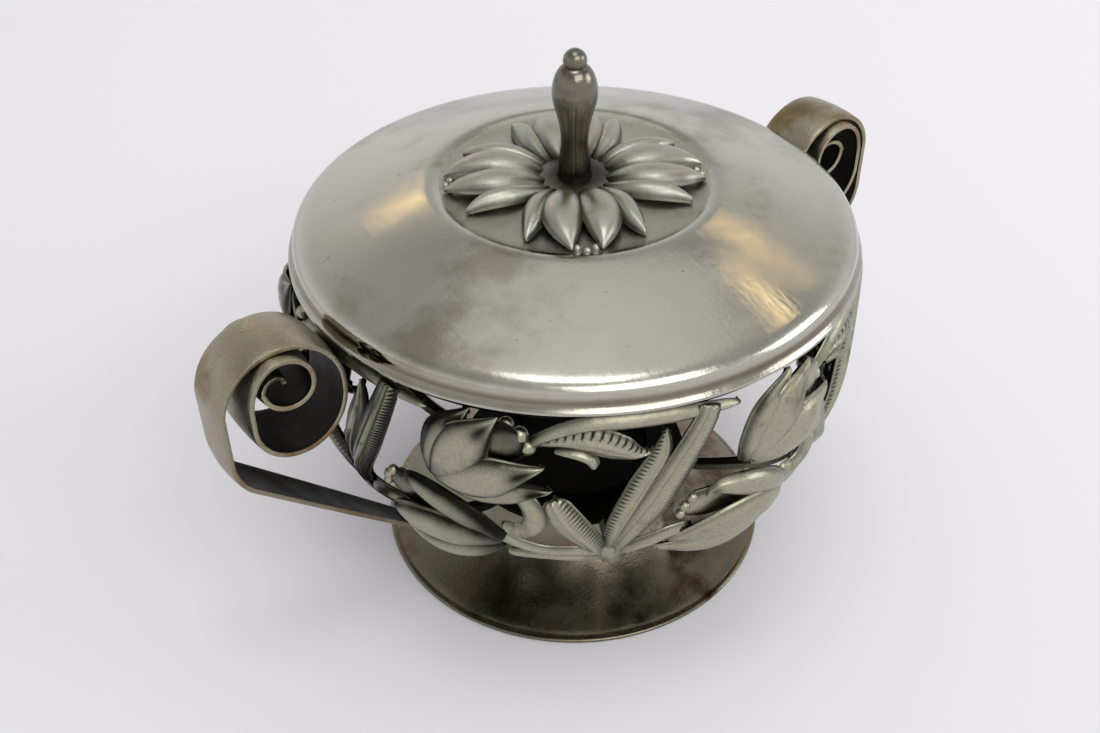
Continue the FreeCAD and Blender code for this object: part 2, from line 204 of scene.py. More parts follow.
silverLooks = {
    "lidSilver": {
        "clean": (0.50, 0.49, 0.425), "stain": (0.33, 0.305, 0.235), "dark": (0.14, 0.105, 0.065),
        "stainScale": 30.0, "stainShare": 0.62, "darkShare": 0.12,
        "gloss": (0.09, 0.24), "scratches": 0.06, "pits": 0.05, "grain": 0.05,
    },
    "rosetteSilver": {
        "clean": (0.46, 0.452, 0.385), "stain": (0.31, 0.26, 0.185), "dark": (0.03, 0.026, 0.02),
        "stainScale": 70.0, "stainShare": 0.42, "darkShare": 0.08,
        "gloss": (0.30, 0.46), "scratches": 0.04, "pits": 0.10, "grain": 0.14,
    },
    "openworkSilver": {
        "clean": (0.395, 0.385, 0.285), "stain": (0.20, 0.19, 0.128), "dark": (0.012, 0.0115, 0.009),
        "stainScale": 80.0, "stainShare": 0.55, "darkShare": 0.14,
        "gloss": (0.27, 0.42), "scratches": 0.10, "pits": 0.12, "grain": 0.20,
    },
    "footSilver": {
        "clean": (0.19, 0.172, 0.125), "stain": (0.135, 0.075, 0.038), "dark": (0.022, 0.019, 0.014),
        "stainScale": 42.0, "stainShare": 0.62, "darkShare": 0.55,
        "gloss": (0.14, 0.34), "scratches": 0.05, "pits": 0.12, "grain": 0.1,
    },
    "handleSilver": {
        "clean": (0.365, 0.33, 0.235), "stain": (0.235, 0.17, 0.085), "dark": (0.06, 0.042, 0.026),
        "stainScale": 62.0, "stainShare": 0.70, "darkShare": 0.34,
        "gloss": (0.26, 0.42), "scratches": 0.07, "pits": 0.26, "grain": 0.16,
    },
    "knobSilver": {
        "clean": (0.20, 0.185, 0.15), "stain": (0.095, 0.06, 0.032), "dark": (0.028, 0.022, 0.014),
        "stainScale": 120.0, "stainShare": 0.62, "darkShare": 0.30,
        "gloss": (0.15, 0.30), "scratches": 0.012, "pits": 0.10, "grain": 0.12,
    },
    # painted shade: a near-black silver for the backs of sheets and the parts inside the bowl and under the
    # lid
    "insidePaintedShade": {
        "clean": (0.026, 0.024, 0.020), "stain": (0.016, 0.014, 0.012), "dark": (0.008, 0.007, 0.006),
        "stainScale": 50.0, "stainShare": 0.5, "darkShare": 0.4,
        "gloss": (0.45, 0.62), "scratches": 0.03, "pits": 0.12, "grain": 0.1,
    },
}


# scales are per metre; shares are of the finish's own stainScale
surface = {
    "cloudShare": 0.38,
    "speckShare": 14,
    "glossShare": 2.2,
    "grainScale": 2600.0,
    "pitScale": 1600.0,
    "scratchTurn": (0.3, 0.2, 0.7),
    "scratchScale": (900, 60, 500),
    "bumpDistance": 0.0004,
    "speckDark": 0.55,
    "mottling": 0.6,
    "paintedLightAndPatinaRange": (0.12, 0.82),
}


def noise(tree, coords, scale, detail=6.0, roughness=0.6):
    node = tree.nodes.new("ShaderNodeTexNoise")
    node.inputs["Scale"].default_value = scale
    node.inputs["Detail"].default_value = detail
    node.inputs["Roughness"].default_value = roughness
    tree.links.new(coords, node.inputs["Vector"])
    return node.outputs["Fac"]


def stretch(tree, value, low, high, toLow=0.0, toHigh=1.0):
    node = tree.nodes.new("ShaderNodeMapRange")
    node.interpolation_type = "SMOOTHSTEP"
    node.inputs["From Min"].default_value = low
    node.inputs["From Max"].default_value = high
    node.inputs["To Min"].default_value = toLow
    node.inputs["To Max"].default_value = toHigh
    tree.links.new(value, node.inputs["Value"])
    return node.outputs["Result"]


def blend(tree, share, first, second):
    node = tree.nodes.new("ShaderNodeMix")
    node.data_type = "RGBA"
    tree.links.new(share, node.inputs["Factor"])
    for socket, value in ((node.inputs["A"], first), (node.inputs["B"], second)):
        if isinstance(value, tuple):
            socket.default_value = value + (1,)
        else:
            tree.links.new(value, socket)
    return node.outputs["Result"]


def sums(tree, operation, first, second):
    node = tree.nodes.new("ShaderNodeMath")
    node.operation = operation
    for socket, value in ((node.inputs[0], first), (node.inputs[1], second)):
        if isinstance(value, float):
            socket.default_value = value
        else:
            tree.links.new(value, socket)
    return node.outputs[0]


def makeSilver(name, look):
    mat = bpy.data.materials.new(name)
    mat.use_nodes = True
    tree = mat.node_tree
    shader = tree.nodes["Principled BSDF"]
    shader.inputs["Metallic"].default_value = 1.0
    coords = tree.nodes.new("ShaderNodeTexCoord").outputs["Object"]
    blotches = noise(tree, coords, look["stainScale"], 8.0, 0.62)
    clouds = noise(tree, coords, look["stainScale"] * surface["cloudShare"], 4.0, 0.5)
    specks = noise(tree, coords, look["stainScale"] * surface["speckShare"], 3.0, 0.7)
    stain = stretch(tree, blotches, 0.72 - 0.36 * look["stainShare"], 0.86 - 0.30 * look["stainShare"])
    patches = sums(tree, "MULTIPLY", clouds, blotches)
    dark = stretch(tree, patches, 0.42 - 0.22 * look["darkShare"], 0.52 - 0.20 * look["darkShare"])
    color = blend(tree, stain, look["clean"], look["stain"])
    color = blend(tree, dark, color, look["dark"])
    color = blend(tree, stretch(tree, specks, 0.66, 0.80, 0.0, surface["speckDark"]), color, look["dark"])
    grain = noise(tree, coords, surface["grainScale"], 2.0, 0.6)
    color = blend(tree, stretch(tree, grain, 0.40, 0.68, 0.0, look["grain"]), color, look["dark"])
    # painted light and shade: where the per-vertex value is low the clean colour turns to the dark colour;
    # the real tarnish mottling is added on top
    paintedLightAndPatina = tree.nodes.new("ShaderNodeAttribute")
    paintedLightAndPatina.attribute_name = "paintedLightAndPatina"
    mottled = sums(tree, "MULTIPLY", sums(tree, "SUBTRACT", blotches, 0.5), surface["mottling"])
    height = sums(tree, "ADD", paintedLightAndPatina.outputs["Fac"], mottled)
    color = blend(tree, stretch(tree, height, *surface["paintedLightAndPatinaRange"]), look["dark"], color)
    tree.links.new(color, shader.inputs["Base Color"])
    sheen = noise(tree, coords, look["stainScale"] * surface["glossShare"])
    gloss = stretch(tree, sheen, 0.3, 0.7, *look["gloss"])
    tree.links.new(gloss, shader.inputs["Roughness"])
    stretchCoords = tree.nodes.new("ShaderNodeMapping")
    stretchCoords.inputs["Rotation"].default_value = surface["scratchTurn"]
    stretchCoords.inputs["Scale"].default_value = surface["scratchScale"]
    tree.links.new(coords, stretchCoords.inputs["Vector"])
    scratches = noise(tree, stretchCoords.outputs["Vector"], 1.0, 2.0, 0.5)
    scratchBump = tree.nodes.new("ShaderNodeBump")
    scratchBump.inputs["Strength"].default_value = look["scratches"]
    scratchBump.inputs["Distance"].default_value = surface["bumpDistance"]
    tree.links.new(scratches, scratchBump.inputs["Height"])
    pitBump = tree.nodes.new("ShaderNodeBump")
    pitBump.inputs["Strength"].default_value = look["pits"]
    pitBump.inputs["Distance"].default_value = surface["bumpDistance"]
    tree.links.new(noise(tree, coords, surface["pitScale"], 3.0, 0.6), pitBump.inputs["Height"])
    tree.links.new(scratchBump.outputs["Normal"], pitBump.inputs["Normal"])
    tree.links.new(pitBump.outputs["Normal"], shader.inputs["Normal"])
    return mat


silver = {name: makeSilver(name, look) for name, look in silverLooks.items()}
print("silver finishes ready")


# helpers for the pieces

def finishPiece(bm, name, body, finish, replaced=(), smooth=True):
    # this per-vertex value is 1 where the clean colour shows and 0 where the dark colour takes over; it
    # carries painted light and shade (crowns and rims lit, hollows, roots, creases and low-lying parts
    # shaded) and the real dark patina of chased cuts
    if "paintedLightAndPatina" not in bm.verts.layers.float:
        paintedLightAndPatina = bm.verts.layers.float.new("paintedLightAndPatina")
        for vert in bm.verts:
            vert[paintedLightAndPatina] = 1.0
    mesh = bpy.data.meshes.new(name)
    bm.to_mesh(mesh)
    bm.free()
    if smooth:
        mesh.shade_smooth()
    piece = bpy.data.objects.new(name, mesh)
    bpy.context.scene.collection.objects.link(piece)
    mesh.materials.append(silver[finish])
    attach(piece, body)
    if replaced:
        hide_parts(*replaced)
    return piece


def addSubsurf(piece, levels=2):
    rounding = piece.modifiers.new("rounding", "SUBSURF")
    rounding.levels = levels
    rounding.render_levels = levels


def spinProfile(profile, steps):
    # a closed outline of (radius, height) corners turned once round the bowl's axis
    bm = bmesh.new()
    verts = [bm.verts.new((radius * mm, 0, height * mm)) for radius, height in profile]
    edges = [bm.edges.new(pair) for pair in zip(verts, verts[1:] + verts[:1])]
    bmesh.ops.spin(bm, geom=verts + edges, cent=(0, 0, 0), axis=up, angle=tau, steps=steps, use_merge=True)
    bmesh.ops.remove_doubles(bm, verts=bm.verts, dist=0.002 * mm)
    loose = [edge for edge in bm.edges if not edge.link_faces]
    bmesh.ops.delete(bm, geom=loose, context="EDGES")
    bmesh.ops.recalc_face_normals(bm, faces=bm.faces)
    return bm


def along(values, share):
    # smooth curve through evenly spaced values, read at a share of its length
    place = min(max(share, 0), 1) * (len(values) - 1)
    index = min(int(place), len(values) - 2)
    step = place - index
    before = values[max(index - 1, 0)]
    start, end = values[index], values[index + 1]
    after = values[min(index + 2, len(values) - 1)]
    return 0.5 * (2 * start + (end - before) * step + (2 * before - 5 * start + 4 * end - after) * step ** 2
                  + (3 * start - before - 3 * end + after) * step ** 3)


def bell(value, middle, width):
    return math.exp(-((value - middle) / width) ** 2)


def polar(radius, azimuth, height):
    angle = math.radians(azimuth)
    return Vector((radius * math.sin(angle), -radius * math.cos(angle), height))


# openwork basket

wall = {
    "floorRadius": 26.5,
    "floorTop": 19.2,
    "bellyRadius": 57.6,
    "bellyHeight": 56.0,
    "bellyInset": 6.2,
    "bellyDip": 0.5,
    "repeats": 6,
    "firstTurn": -30.0,
    "sheet": 1.3,
    # painted light: how far each repeat is brightened or darkened, lightest at the front right and darkest on
    # the left
    "leafPaintedLight": [0.10, 0.12, 0.04, 0.0, 0.06, -0.20],
    "upperPaintedLight": [-0.09, 0.24, 0.06, 0.0, 0.08, -0.18],
    "lowerPaintedLight": [-0.12, 0.26, 0.0, 0.06, -0.05, -0.15],
}
wallWide = wall["bellyRadius"] - wall["floorRadius"] + wall["bellyInset"]
wallDeep = wall["bellyHeight"] - wall["floorTop"] + wall["bellyDip"]


def wallFrame(azimuth, height, lift):
    drop = max(wall["bellyHeight"] - height, 0) / wallDeep
    run = math.sqrt(max(1 - drop ** 2, 0))
    outward = polar(run / wallWide, azimuth, -drop / wallDeep).normalized()
    return polar(wall["bellyRadius"] - wallWide * (1 - run), azimuth, height) + outward * lift, outward


def leafRelief(across, share, shape):
    edge = abs(across)
    rise = 1 - edge ** shape["fullness"]
    rise += shape["rib"] * bell(across, -0.05, 0.07) - 0.7 * shape["rib"] * bell(across, 0.13, 0.07)
    rise -= 0.5 * shape["rib"] * bell(across, -0.33, 0.08)
    rise += 0.16 * bell(edge, 0.93, 0.05)
    return rise


def petalRelief(across, share, shape):
    edge = abs(across)
    rise = max(1 - edge ** 2.4, 0) ** 0.7
    rise += shape["rim"] * (bell(edge, 0.96, 0.035) - 0.5 * bell(edge, 0.84, 0.05))
    rise -= shape["vein"] * bell(across, 0.05 * math.sin(5 * share), 0.045) * bell(share, 0.30, 0.34)
    rise -= shape["dimple"] * bell(across, 0, 0.50) * bell(share, 0.84, 0.10)
    rise += 0.8 * shape["dimple"] * bell(edge, 0.55, 0.2) * bell(share, 0.93, 0.06)
    return rise


def chaseMarks(across, distance, marks):
    # rows of short cuts, slanted away from the leaf's rib
    if not marks:
        return 0.0
    side = across * marks["side"]
    inRow = bell(side, marks["row"], marks["spread"])
    shift = marks["slant"] * (side - marks["bow"] * side ** 2)
    wave = 0.5 + 0.5 * math.cos(tau * (distance - shift) / marks["pitch"])
    return -inRow * wave ** marks["sharp"]


bladeRoot = {"length": 0.10, "narrow": 0.55}
# how bright each place of a blade is painted: crowns lit, edges, hollows and low-lying parts shaded, rims
# given a painted highlight, and cuts darkened by their patina
bladeLightAndPatina = {"face": 0.84, "lift": 0.05, "hollow": 0.16, "crown": 0.80, "edge": 0.42, "cuts": 0.7}


def layBlade(target, stations, frameAt, relief, shape):
    # a leaf or petal: a grid laid along a midline of (azimuth, height, lift, half width) stations
    rows, columns = shape["rows"], shape["columns"]
    lanes = list(zip(*stations))
    middles = [[along(lane, row / rows) for lane in lanes] for row in range(rows + 1)]
    frames = [frameAt(*middle[:3]) for middle in middles]
    widest = max(lanes[3])
    grid = bmesh.ops.create_grid(target, x_segments=rows, y_segments=columns, size=1)["verts"]
    paintedLightAndPatina = target.verts.layers.float["paintedLightAndPatina"]
    lengths = [0.0]
    for first, second in zip(frames, frames[1:]):
        lengths.append(lengths[-1] + (second[0] - first[0]).length)
    for vert in grid:
        row = round((vert.co.x + 1) / 2 * rows)
        across = math.sin(vert.co.y * math.pi / 2)
        share = row / rows
        point, outward = frames[row]
        ahead = frames[min(row + 1, rows)][0] - frames[max(row - 1, 0)][0]
        side = ahead.cross(outward).normalized()
        half = max(middles[row][3], 0.15) * shape["fuller"]
        tip = min((1 - share) / shape["tip"], 1)
        half *= max(1 - (1 - tip) ** shape["roundTip"], 0.002) ** 0.5
        root = min((share + 0.01) / bladeRoot["length"], 1)
        half *= bladeRoot["narrow"] + (1 - bladeRoot["narrow"]) * math.sqrt(max(1 - (1 - root) ** 2, 0))
        full = math.sqrt(half / widest)
        level = relief(across, share, shape)
        cuts = chaseMarks(across, lengths[row], shape["marks"])
        rise = level * shape["rise"] * full + shape["cutDepth"] * cuts
        vert.co = (point + side * half * across + outward * rise) * mm
        # painted light and shade: parts lying lower and near the root are darker, crowns lighter than the
        # edges, a painted highlight runs along the rims and dimples are darkened; the cuts add their dark
        # patina
        depth = bladeLightAndPatina["face"] + bladeLightAndPatina["lift"] * middles[row][2] - shape["rootDark"] * bell(share, 0, 0.20)
        shade = depth * (bladeLightAndPatina["hollow"] + bladeLightAndPatina["crown"] * min(max(level, 0), 1) ** shape["edgeDark"])
        shade += bladeLightAndPatina["edge"] * bell(abs(across), 0.98, 0.03)
        shade -= 1.4 * shape["dimple"] * bell(across, 0, 0.5) * bell(share, 0.80, 0.09)
        vert[paintedLightAndPatina] = min(max(shade + shape["worn"], 0.08), 1) + bladeLightAndPatina["cuts"] * cuts
    bmesh.ops.reverse_faces(target, faces=list({face for vert in grid for face in vert.link_faces}))


leafShape = {"rows": 40, "columns": 12, "rise": 1.6, "fullness": 2.0, "rib": 0.26, "tip": 0.14,
             "roundTip": 1.4, "fuller": 1.0, "dimple": 0.0, "cutDepth": 0.22, "worn": 0.0, "edgeDark": 1.1,
             "rootDark": 0.45, "marks": None}
petalShape = {"rows": 40, "columns": 20, "rise": 2.3, "vein": 0.10, "dimple": 0.26, "tip": 0.42,
              "roundTip": 1.5, "fuller": 1.08, "rim": 0.12, "cutDepth": 0.0, "worn": 0.0, "edgeDark": 1.8,
              "rootDark": 0.55, "marks": None}
edgeDashes = {"side": -1, "row": 0.60, "spread": 0.20, "pitch": 0.95, "slant": -1.0, "bow": 0.0, "sharp": 5}
fineStrokes = {"side": 1, "row": 0.55, "spread": 0.32, "pitch": 1.0, "slant": 1.7, "bow": 0.2, "sharp": 3}
faintStrokes = {"side": 1, "row": 0.55, "spread": 0.30, "pitch": 0.95, "slant": 1.5, "bow": 0.3, "sharp": 4}
curvedStrokes = {"side": -1, "row": 0.50, "spread": 0.36, "pitch": 1.45, "slant": 2.2, "bow": 0.7, "sharp": 4}
leaves = {
    "root": ([(9, 19.1, 0.4, 2.2), (5, 25, 0.2, 2.4), (2, 31, 0.2, 3.0), (0, 39, 0.2, 3.6),
              (0.5, 43, 0.2, 2.6)], {}),
    "longLeaf": ([(0, 38, 0.2, 1.8), (3, 47, 0.6, 2.8), (8, 56.5, 1.0, 3.4), (13, 67, 1.4, 3.0),
                  (16.3, 74.5, 1.6, 2.5), (17.3, 77.6, 1.2, 2.1)],
                 {"rows": 230, "columns": 28, "marks": fineStrokes, "tip": 0.05, "roundTip": 2.0,
                  "rib": 0.40}),
    "shortLeaf": ([(-0.8, 40, 0.0, 1.2), (0.8, 50, 0.3, 2.2), (4.6, 60, 0.6, 2.6), (8.2, 68, 0.9, 2.1),
                   (9.0, 73.8, 0.9, 0.5)],
                  {"rows": 190, "columns": 18, "marks": edgeDashes}),
    "leftLeaf": ([(-1.5, 38.5, 0.2, 1.8), (-4.8, 45.5, 0.6, 3.0), (-8.6, 52, 1.0, 3.6),
                  (-11.6, 58, 1.0, 2.6)],
                 {"rows": 130, "columns": 18, "marks": faintStrokes, "rib": 0.36, "roundTip": 2.0}),
    "lowLeaf": ([(1.5, 39, -0.2, 1.4), (7, 42, 0.0, 1.9), (12, 44.5, 0.2, 1.6), (17, 45, 0.2, 1.0)], {}),
    "upperStem": ([(-0.5, 39.5, 0.0, 1.0), (-6, 41.5, 0.4, 1.2), (-14, 41.8, 0.6, 1.2), (-21, 45, 0.6, 1.3),
                   (-25, 46.5, 0.4, 1.0)],
                  {"rib": 0.0}),
    "lowerStem": ([(0, 36.5, 0.0, 1.2), (-8, 38.5, 0.4, 1.4), (-15, 38.6, 0.4, 1.3), (-22, 36.5, 0.2, 1.0)],
                  {"rib": 0.0}),
    "curlLeaf": ([(-19.5, 58.3, 0.4, 1.4), (-16.6, 57.2, 0.9, 2.0), (-14.7, 53.6, 1.3, 2.3),
                  (-15.6, 50.0, 1.3, 2.4), (-18.8, 48.4, 1.0, 2.2), (-21.4, 49.6, 0.5, 1.3)],
                 {"rows": 44, "columns": 14, "rib": 0.12, "roundTip": 2.0}),
    "branch": ([(-17, 69.5, 0.4, 1.0), (-12.5, 73.5, 0.6, 1.5), (-6, 76.3, 0.6, 2.0), (2, 76.8, 0.6, 2.0),
                (11, 76.4, 0.4, 2.0), (18, 75.6, 0.2, 1.5), (24.5, 74.4, 0.0, 1.2)], {"rib": 0.10}),
    "hangingLeaf": ([(-15, 71.4, 0.4, 0.9), (-10, 73.0, 0.9, 1.9), (-4.6, 73.4, 1.4, 3.1),
                     (0.2, 71.4, 1.4, 2.9), (3.6, 69.2, 1.1, 1.6), (6.6, 68.6, 0.7, 0.4)],
                    {"rows": 130, "columns": 18, "marks": curvedStrokes}),
    "hangingCurl": ([(-11, 70.4, 0.5, 0.9), (-7, 69.9, 1.0, 1.3), (-4.6, 68.6, 1.2, 1.3),
                     (-4, 66.9, 1.2, 1.1)],
                    {"rib": 0.0, "roundTip": 2.0}),
}
# the heart and the petals lying behind or under others are given a negative shift, painted shade
upperPetals = {
    "outerPetal": ([(-34, 59.8, 1.0, 1.4), (-33.2, 66, 1.8, 2.9), (-30.4, 73, 2.2, 3.5),
                    (-25.8, 79.0, 2.0, 0.9)], {"worn": -0.22}),
    "heart": ([(-34.5, 60, 0.6, 1.6), (-30, 64, 1.2, 3.0), (-25, 68.5, 1.6, 4.8), (-20.5, 72.0, 2.0, 4.6),
               (-16.8, 73.9, 2.0, 3.6)],
              {"dimple": 0.0, "rise": 0.8, "vein": 0.0, "tip": 0.12, "rim": 0.0, "worn": -0.32}),
    "underPetal": ([(-33, 59.0, 1.0, 1.0), (-25, 59.0, 1.8, 2.4), (-17.5, 61.0, 2.4, 2.6),
                    (-11.3, 61.4, 2.0, 0.7)], {"worn": -0.1}),
    "middlePetal": ([(-33.2, 60.3, 1.8, 1.8), (-29.8, 66.0, 2.9, 4.4), (-26.0, 72.4, 3.1, 4.9),
                     (-20.6, 78.3, 2.3, 0.9)],
                    {"rows": 44, "columns": 24}),
    "frontPetal": ([(-33.2, 60.6, 2.0, 1.6), (-27.0, 62.5, 3.2, 4.0), (-20.5, 65.0, 3.4, 4.5),
                    (-12.6, 67.6, 2.6, 0.8)],
                   {"rows": 44, "columns": 24}),
}
# here too the heart and the back petal are given painted shade by a negative shift
lowerPetals = {
    "heart": ([(-24, 47, 0.4, 1.6), (-32, 50.2, 0.8, 3.2), (-40, 51.4, 0.8, 3.9), (-46.2, 52.4, 0.5, 2.8)],
              {"dimple": 0.0, "rise": 0.7, "vein": 0.0, "tip": 0.12, "rim": 0.0, "worn": -0.3}),
    "backPetal": ([(-21.5, 45.2, 0.8, 1.4), (-26.5, 50.6, 1.8, 3.0), (-33, 54.0, 1.8, 3.0),
                   (-39.5, 55.5, 1.2, 1.9), (-42, 53.6, 0.8, 0.8)],
                  {"worn": -0.12}),
    "middlePetal": ([(-21.5, 44.6, 1.0, 1.6), (-28, 47.2, 3.0, 4.2), (-36, 47.0, 3.0, 4.6),
                     (-44, 43.9, 1.8, 3.0), (-48, 41.6, 1.0, 0.8)],
                    {"rows": 46, "columns": 24}),
    "frontPetal": ([(-21.5, 43, 0.8, 1.6), (-28, 40.8, 2.2, 3.4), (-36, 38.8, 2.4, 4.1),
                    (-44.5, 38.6, 1.4, 2.8), (-50, 38.8, 0.6, 0.7)],
                   {"rows": 46, "columns": 24}),
}
upperStamens = [(-19.6, 75.6, 1.0, 1.5), (-17.2, 73.5, 1.0, 1.65), (-15.8, 70.8, 1.0, 1.6)]
lowerStamens = [(-44.8, 54.3, 0.9, 1.1), (-46.2, 52.5, 0.9, 1.15), (-46.8, 50.4, 0.8, 1.1)]


def startBlades():
    bm = bmesh.new()
    bm.verts.layers.float.new("paintedLightAndPatina")
    return bm


def dropBeads(target, beads, frameAt):
    # each bead is an (azimuth, height, lift, radius)
    paintedLightAndPatina = target.verts.layers.float["paintedLightAndPatina"]
    for azimuth, height, lift, radius in beads:
        point, outward = frameAt(azimuth, height, lift)
        ball = bmesh.ops.create_uvsphere(target, u_segments=14, v_segments=9, radius=radius * mm,
                                         matrix=Matrix.Translation(point * mm))["verts"]
        for vert in ball:
            vert[paintedLightAndPatina] = 0.95


sheetEdge = {"width": 0.22, "segments": 2, "angle": 50}


def addSheetBack(piece, thickness, backFinish=None):
    # gives a sheet its thickness inwards, with an own finish on its back where it has one; that back finish
    # is the near-black inside silver, painted shade
    if backFinish:
        piece.data.materials.append(silver[backFinish])
    back = piece.modifiers.new("sheetBack", "SOLIDIFY")
    back.thickness = thickness * mm
    back.offset = -1.0
    back.material_offset = 1 if backFinish else 0
    softEdge = piece.modifiers.new("softEdge", "BEVEL")
    softEdge.width = sheetEdge["width"] * mm
    softEdge.segments = sheetEdge["segments"]
    softEdge.limit_method = "ANGLE"
    softEdge.angle_limit = math.radians(sheetEdge["angle"])


handlePad = {"reach": 59.4, "halfWidth": 9.6, "low": 58, "high": 79.4}


def dressForHandle(bm):
    # the sprays are hammered flat where the volutes bear on them
    reach, halfWidth, low, high = [handlePad[key] * mm for key in ("reach", "halfWidth", "low", "high")]
    for vert in bm.verts:
        if abs(vert.co.y) < halfWidth and low < vert.co.z < high:
            vert.co.x = min(max(vert.co.x, -reach), reach)


def addRepeats(name, build, nodeName, repeatPaintedLight):
    for index in range(wall["repeats"]):
        bm = build()
        paintedLightAndPatina = bm.verts.layers.float["paintedLightAndPatina"]
        # painted light: every vertex of this repeat is shifted lighter or darker by its entry
        for vert in bm.verts:
            vert[paintedLightAndPatina] += repeatPaintedLight[index]
        turn = math.radians(wall["firstTurn"] + index * 360 / wall["repeats"])
        bmesh.ops.rotate(bm, verts=bm.verts, cent=(0, 0, 0), matrix=Matrix.Rotation(turn, 3, "Z"))
        dressForHandle(bm)
        piece = finishPiece(bm, f"{name}.{index + 1}", "bowl", "openworkSilver",
                            [f"{nodeName}_{index + 1}"])
        addSheetBack(piece, wall["sheet"], "insidePaintedShade")


def buildSpray():
    bm = startBlades()
    for stations, changes in leaves.values():
        layBlade(bm, stations, wallFrame, leafRelief, {**leafShape, **changes})
    return bm


def buildTulip(petals, beads, frameAt, base):
    bm = startBlades()
    for stations, changes in petals.values():
        layBlade(bm, stations, frameAt, petalRelief, {**base, **changes})
    dropBeads(bm, beads, frameAt)
    return bm


def buildUpperTulip():
    return buildTulip(upperPetals, upperStamens, wallFrame, petalShape)


def buildLowerTulip():
    return buildTulip(lowerPetals, lowerStamens, wallFrame, petalShape)


addRepeats("leafSpray", buildSpray, "leaf_panel", wall["leafPaintedLight"])
addRepeats("upperTulip", buildUpperTulip, "upper_tulip", wall["upperPaintedLight"])
addRepeats("lowerTulip", buildLowerTulip, "lower_tulip", wall["lowerPaintedLight"])
print("openwork laid")


# foot

footShape = {
    "steps": 64,
    "sheet": 1.0,
    "outline": [(23.5, 17.95), (23.6, 17.2), (24.6, 14.6), (26.6, 11.6), (29.7, 8.6), (33.6, 5.9),
                (38.2, 3.6), (42.2, 2.05), (43.6, 1.55), (44.3, 1.12)],
    "edge": [(44.9, 1.1), (45.45, 0.95), (45.68, 0.55), (45.5, 0.12), (45.0, 0.0), (44.2, 0.0), (43.7, 0.1),
             (43.5, 0.6)],
}


def addFoot(shape):
    outer = shape["outline"]
    inner = [(radius - shape["sheet"], height - 0.15) for radius, height in outer[1:-1]][::-1]
    top = [(outer[0][0] - shape["sheet"], outer[0][1])]
    bm = spinProfile(outer + shape["edge"] + inner + top, shape["steps"])
    piece = finishPiece(bm, "trumpetFoot", "bowl", "footSilver", ["foot_shell", "foot_wire"])
    addSubsurf(piece)


addFoot(footShape)
print("foot spun")


# lid

lidShape = {
    "steps": 72,
    "sheet": 0.9,
    "base": 79.5,
    "mattInside": 28.2,
    "recessRadius": 28.8,
    "recessShade": 0.10,
    "hubShade": 0.80,
    "hubWidth": 10.5,
    "lipRadius": 58.5,
    "lipShade": 0.25,
    "creaseShade": 0.45,
    "creaseHeight": 2.1,
    "creaseWidth": 1.0,
    "outline": [(60.0, 0.05), (60.0, 0.35), (59.95, 0.68), (59.6, 0.95), (59.1, 1.5), (58.85, 2.1),
                (58.8, 2.6), (58.9, 3.2),
                (58.75, 4.1), (58.2, 4.95), (57.2, 5.75), (56.0, 6.3), (54.4, 6.85), (51.0, 7.9),
                (46.5, 9.35), (42.0, 10.8),
                (37.0, 12.2), (33.0, 13.15), (31.0, 13.52), (29.9, 13.6), (29.0, 13.45), (28.0, 13.05),
                (26.8, 12.72), (25.0, 12.6),
                (22.0, 12.68), (16.0, 12.95), (10.5, 13.5), (7.5, 14.1), (5.4, 14.45), (3.0, 14.5)],
}


def addLid(shape):
    outer = [(radius, shape["base"] + height) for radius, height in shape["outline"]]
    inner = []
    for index, (radius, height) in enumerate(outer):
        before, after = outer[max(index - 1, 0)], outer[min(index + 1, len(outer) - 1)]
        run, rise = after[0] - before[0], after[1] - before[1]
        length = math.hypot(run, rise)
        inner.append((radius + shape["sheet"] * min(-rise / length, 0),
                      height + shape["sheet"] * min(run / length, 0)))
    bm = spinProfile(outer + inner[::-1], shape["steps"])
    paintedLightAndPatina = bm.verts.layers.float.new("paintedLightAndPatina")
    for vert in bm.verts:
        radius = math.hypot(vert.co.x, vert.co.y) / mm
        height = vert.co.z / mm - shape["base"]
        shade = 0.0
        if radius < shape["recessRadius"]:
            shade += shape["recessShade"] + shape["hubShade"] * bell(radius, 0, shape["hubWidth"])
        if radius > shape["lipRadius"]:
            shade += shape["lipShade"] + shape["creaseShade"] * bell(height, shape["creaseHeight"],
                                                                     shape["creaseWidth"])
        vert[paintedLightAndPatina] = 1 - shade
    for face in bm.faces:
        if math.hypot(*face.calc_center_median().xy) < shape["mattInside"] * mm:
            face.material_index = 1
    piece = finishPiece(bm, "lidShell", "lid", "lidSilver", ["lid_shell"])
    piece.data.materials.append(silver["rosetteSilver"])
    addSubsurf(piece)


addLid(lidShape)
print("lid spun")


# tulip heads on the lid

